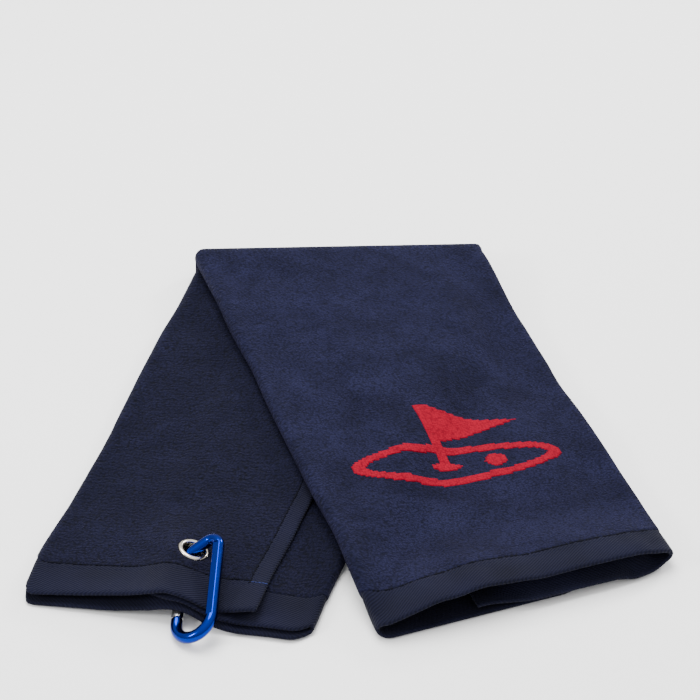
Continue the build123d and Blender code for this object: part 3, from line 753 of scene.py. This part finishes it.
class GOLFTOWEL_OT_hems(bpy.types.Operator):
    """Adds the twill bands across both ends and the hems along both long edges"""
    bl_idname = "golftowel.hems"
    bl_label = "Hems"

    def execute(self, context):
        towel = context.scene.golf_towel
        fold = Fold(towel)
        twill = hem_twill(context.scene.golf_towel_colours)
        side, end, step = towel.side_hem / MM, towel.end_hem / MM, towel.mesh_step / MM
        bends = fold.bends()
        whole = spaced(0, fold.width, step, bends)
        length = spaced(end - HEM_TUCK, fold.length - end + HEM_TUCK, step,
                        [(fold.front, fold.front + fold.roll)])
        bands = (("hem_band_front", "end_hem_front", whole, spaced(0, end + HEM_TUCK, step)),
                 ("hem_band_back", "end_hem_back", whole,
                  spaced(fold.length - end - HEM_TUCK, fold.length, step)),
                 ("hem_left_flap", "side_hem_left_flap", spaced(0, side + HEM_TUCK, step), length),
                 ("hem_right_flap", "side_hem_right_flap",
                  spaced(fold.width - side - HEM_TUCK, fold.width, step), length))
        for name, node, s, t in bands:
            hand_over(cloth_strip(name, fold, s, t, towel.hem / MM, twill), "hem_twill", node)
        return {"FINISHED"}


class GOLFTOWEL_OT_motif(bpy.types.Operator):
    """Weaves the stepped red motif into the front leg's pile"""
    bl_idname = "golftowel.motif"
    bl_label = "Woven motif"

    def execute(self, context):
        towel, trim = context.scene.golf_towel, context.scene.golf_towel_trim
        fold = Fold(towel)
        cell, width, height = trim.motif_cell / MM, trim.motif_width / MM, 60.0
        left = fold.left_run + fold.left_arc + 18.0
        low = 90.0                          # mm from the front hem's edge
        parts = 2                           # mesh lines in one jacquard cell
        columns, rows = int(width / cell), int(height / cell)
        s = left + np.arange(columns * parts + 1) * cell / parts
        t = low + np.arange(rows * parts + 1) * cell / parts
        points, _, leg = fold.lay(s, t)
        normal = surface_normals(points)
        normal *= np.sign(normal[..., 2:3])
        pile = towel.terry / MM / 2
        points = points + normal * (pile - 0.15)
        x, y = np.meshgrid((np.arange(columns) + 0.5) * cell, (np.arange(rows) + 0.5) * cell)
        keep = np.repeat(np.repeat(in_motif(x, y), parts, 0), parts, 1)
        thickness = np.full(points.shape[:2], 1.1)
        uv = np.stack(np.meshgrid(s, t), -1)
        yarn = motif_yarn(context.scene.golf_towel_colours)
        hand_over(make_shell("motif_pile", points, thickness, keep, uv, {"leg": leg}, yarn), "motif_yarn",
                  "woven_motif")
        return {"FINISHED"}


class GOLFTOWEL_OT_sewing(bpy.types.Operator):
    """Sews the hems' seams and raises the ragged tufts where the pile meets each hem, coloured near black as
    painted shade of the groove there
    """
    bl_idname = "golftowel.sewing"
    bl_label = "Seams and pile edges"

    def execute(self, context):
        towel, trim = context.scene.golf_towel, context.scene.golf_towel_trim
        colours = context.scene.golf_towel_colours
        fold = Fold(towel)
        hem, end, side = towel.hem / MM, towel.end_hem / MM, towel.side_hem / MM
        thread = sewing_thread("navy sewing thread", "#131528")
        pale = sewing_thread("pale blue sewing thread", "#323B70")
        # painted shade: the tufts are coloured near black to stand in for the shadowed groove between pile
        # and hem
        painted_groove_shade = sewing_thread("terry tufts in painted groove shade", "#0A0B14")
        stitch = {"Step": trim.stitch, "Length": trim.stitch * 0.8, "Width": trim.thread,
                  "Height": trim.thread * 0.7, "Unevenness": 0.2, "Seed": trim.seed}
        front_s = np.arange(fold.left_run + fold.left_arc, fold.width - fold.right_run - fold.right_arc, 2.0)
        back_s = np.arange(1.0, fold.left_run, 2.0)
        back_t = np.arange(fold.front + fold.roll + fold.back * 0.40, fold.length - end + 1, 2.0)
        rows = (("stitches_front", [(front_s, end - INNER_SEAM), (front_s, OUTER_SEAM)],
                 "stitching_front_hem"),
                ("stitches_back",
                 [(back_s, fold.length - end + INNER_SEAM), (back_s, fold.length - OUTER_SEAM)],
                 "stitching_back_hem"),
                ("stitches_side", [(1.6, back_t), (side - 1.8, back_t)], "stitching_side_hem"))
        for name, lines, node in rows:
            paths = [seam_path(fold, s, t, hem, 0.0) for s, t in lines]
            hand_over(sew(name, paths, thread, **stitch), "thread", node)
        tack = seam_path(fold, np.arange(0.8, side + 1.5, 1.0), fold.length - end + 0.6, hem, 0.15)
        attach(sew("corner_tack", [tack], pale, **dict(stitch, Step=1.6 * MM)), "towel")
        tufts = {"Step": trim.tuft * 0.6, "Length": trim.tuft * 1.1, "Width": trim.tuft * 1.7,
                 "Height": trim.tuft, "Unevenness": 0.8, "Seed": trim.seed + 1}
        terry = towel.terry / MM
        edges = [seam_path(fold, front_s, end + 0.7, terry * 0.72, 0.0),
                 seam_path(fold, np.arange(side, fold.left_run, 2.0), fold.length - end - 0.7,
                           terry * 0.72, 0.0),
                 seam_path(fold, side + 0.7, back_t, terry * 0.72, 0.0)]
        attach(sew("pile_edge_tufts", edges, painted_groove_shade, **tufts), "towel")
        return {"FINISHED"}


def turned_ring(name, profile, segments, material):
    """A closed profile of (radius, height) pairs in mm, turned about the eyelet's axis."""
    side = np.cross(EYELET_UP, (0, 1, 0))
    side /= np.linalg.norm(side)
    ahead = np.cross(EYELET_UP, side)
    turns = np.linspace(0, 2 * pi, segments, endpoint=False)
    coords = [EYELET + radius * (cos(a) * side + sin(a) * ahead) + height * EYELET_UP
              for a in turns for radius, height in profile]
    count = len(profile)
    faces = [(i * count + j, i * count + (j + 1) % count, (i + 1) % segments * count + (j + 1) % count,
              (i + 1) % segments * count + j) for i in range(segments) for j in range(count)]
    mesh = bpy.data.meshes.new(name)
    mesh.from_pydata([tuple(c * MM) for c in coords], [], faces)
    shape = bmesh.new()
    shape.from_mesh(mesh)
    bmesh.ops.recalc_face_normals(shape, faces=shape.faces)
    shape.to_mesh(mesh)
    shape.free()
    mesh.shade_smooth()
    mesh.materials.append(material)
    ring = bpy.data.objects.new(name, mesh)
    bpy.context.scene.collection.objects.link(ring)
    return ring


class GOLFTOWEL_OT_clip(bpy.types.Operator):
    """Presses the eyelet's rolled flange and finishes the carabiner's metal"""
    bl_idname = "golftowel.clip"
    bl_label = "Eyelet and carabiner"

    def execute(self, context):
        colours = context.scene.golf_towel_colours
        # dyed and sealed aluminium, bright dipped first: deep colour with sharp white highlights
        anodised = worked_metal("anodised aluminium", colours.anodised, 0.17, 0.35, 0.01, glint_colour="#2C5AC8")
        # drawn and polished bar: paler, with faint lengthwise lines
        aluminium = worked_metal("polished aluminium", colours.aluminium, 0.28, 0.5, 0.015, (3, 0.3, 3))
        # nickel plate over pressed brass: warm, bright and slightly rippled
        nickel = worked_metal("nickel plate", colours.nickel, 0.2, 0.8, 0.03, glint_colour="#F2EADF")
        # drawn wire and pins: grey and smooth
        steel = worked_metal("drawn steel", "#A9A9A9", 0.32, 0.4, 0.01)
        inner, outer, top = 5.4, 7.7, 1.0          # of the rolled flange, above the crimped cloth
        crown = [(6.5 + 1.2 * cos(a), top + 1.05 * sin(a)) for a in np.linspace(-0.3, pi * 0.92, 14)]
        profile = crown + [(inner, top), (inner, -1.0), (inner + 0.35, -1.0), (inner + 0.35, top - 0.35),
                           (outer - 0.2, top - 0.35)]
        flange = turned_ring("eyelet_rolled_flange", profile, 96, nickel)
        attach(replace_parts(flange, "eyelet_flange"), "towel")
        finishes = {anodised: ("carabiner_frame",), aluminium: ("carabiner_gate",),
                    nickel: ("eyelet_washer",),
                    steel: ("gate_hinge_rivet", "gate_latch_pin", "gate_spring", "gate_plunger")}
        for material, nodes in finishes.items():
            for node in nodes:
                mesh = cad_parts[node].data
                mesh.materials.clear()
                mesh.materials.append(material)
        return {"FINISHED"}


class GOLFTOWEL_OT_stage(bpy.types.Operator):
    """Adds the pale floor, the soft lights and the camera"""
    bl_idname = "golftowel.stage"
    bl_label = "Floor, lights and camera"

    def execute(self, context):
        scene = context.scene
        mesh = bpy.data.meshes.new("floor")
        reach = 6.0
        mesh.from_pydata([(-reach, -reach, 0), (reach, -reach, 0), (reach, reach, 0), (-reach, reach, 0)],
                         [], [(0, 1, 2, 3)])
        floor = bpy.data.objects.new("floor", mesh)
        mesh.materials.append(new_material("matt white board", scene.golf_towel_colours.floor, 0.9)[0])
        scene.collection.objects.link(floor)
        world = bpy.data.worlds.new("studio")
        world.use_nodes = True
        tree = world.node_tree              # bright overhead and dimmer at the horizon
        direction = add_node(tree, "ShaderNodeTexCoord")
        upward = add_node(tree, "ShaderNodeSeparateXYZ", {"Vector": direction.outputs["Generated"]})
        sky = add_node(tree, "ShaderNodeMapRange", {
            "Value": upward.outputs["Z"], "To Min": 0.55, "To Max": 1.85})
        background = tree.nodes["Background"]
        background.inputs["Color"].default_value = (1, 1, 1, 1)
        tree.links.new(sky.outputs["Result"], background.inputs["Strength"])
        scene.world = world
        lamps = (("overhead", (-0.15, 0.35, 1.3), 1.0, 31.0), ("side", (-1.2, -0.5, 0.8), 0.35, 11.0),
                 ("rim", (0.9, 0.9, 0.7), 0.3, 10.0))
        for name, at, size, power in lamps:
            lamp = bpy.data.lights.new(name, "AREA")
            lamp.shape, lamp.size, lamp.energy = "DISK", size, power
            placed = bpy.data.objects.new(name, lamp)
            placed.location = at
            placed.rotation_euler = (-Vector(at)).to_track_quat("-Z", "Y").to_euler()
            scene.collection.objects.link(placed)
        elevation, distance = radians(39), 1.6
        target = Vector((-0.0012, 0.0761, 0.0))
        camera = bpy.data.objects.new("camera", bpy.data.cameras.new("camera"))
        camera.data.sensor_width, camera.data.lens = 36.0, 154.3
        camera.location = target + distance * Vector((0, -cos(elevation), sin(elevation)))
        camera.rotation_euler = (pi / 2 - elevation, 0, 0)
        scene.collection.objects.link(camera)
        scene.camera = camera
        return {"FINISHED"}


class GOLFTOWEL_OT_declare(bpy.types.Operator):
    """A last step that changes nothing"""
    bl_idname = "golftowel.declare"
    bl_label = "Cloth facts"

    def execute(self, context):
        return {"FINISHED"}


class GOLFTOWEL_PT_panel(bpy.types.Panel):
    """Lists the steps in their order"""
    bl_label = "Golf towel"
    bl_space_type = "VIEW_3D"
    bl_region_type = "UI"
    bl_category = "Golf towel"

    def draw(self, context):
        for step in STEPS:
            self.layout.operator(step.bl_idname)


STEPS = (GOLFTOWEL_OT_stage, GOLFTOWEL_OT_sheet, GOLFTOWEL_OT_hems, GOLFTOWEL_OT_motif, GOLFTOWEL_OT_sewing,
         GOLFTOWEL_OT_clip, GOLFTOWEL_OT_declare)
GROUPS = {"golf_towel": TowelSettings, "golf_towel_trim": TrimSettings, "golf_towel_colours": ColourSettings}
CLASSES = (*GROUPS.values(), *STEPS, GOLFTOWEL_PT_panel)


def register():
    for cls in CLASSES:
        bpy.utils.register_class(cls)
    for name, group in GROUPS.items():
        setattr(bpy.types.Scene, name, PointerProperty(type=group))


def unregister():
    for name in GROUPS:
        delattr(bpy.types.Scene, name)
    for cls in reversed(CLASSES):
        bpy.utils.unregister_class(cls)


def main():
    register()
    for step in STEPS:
        group, call = step.bl_idname.split(".")
        getattr(getattr(bpy.ops, group), call)()


if __name__ == "__main__":
    main()
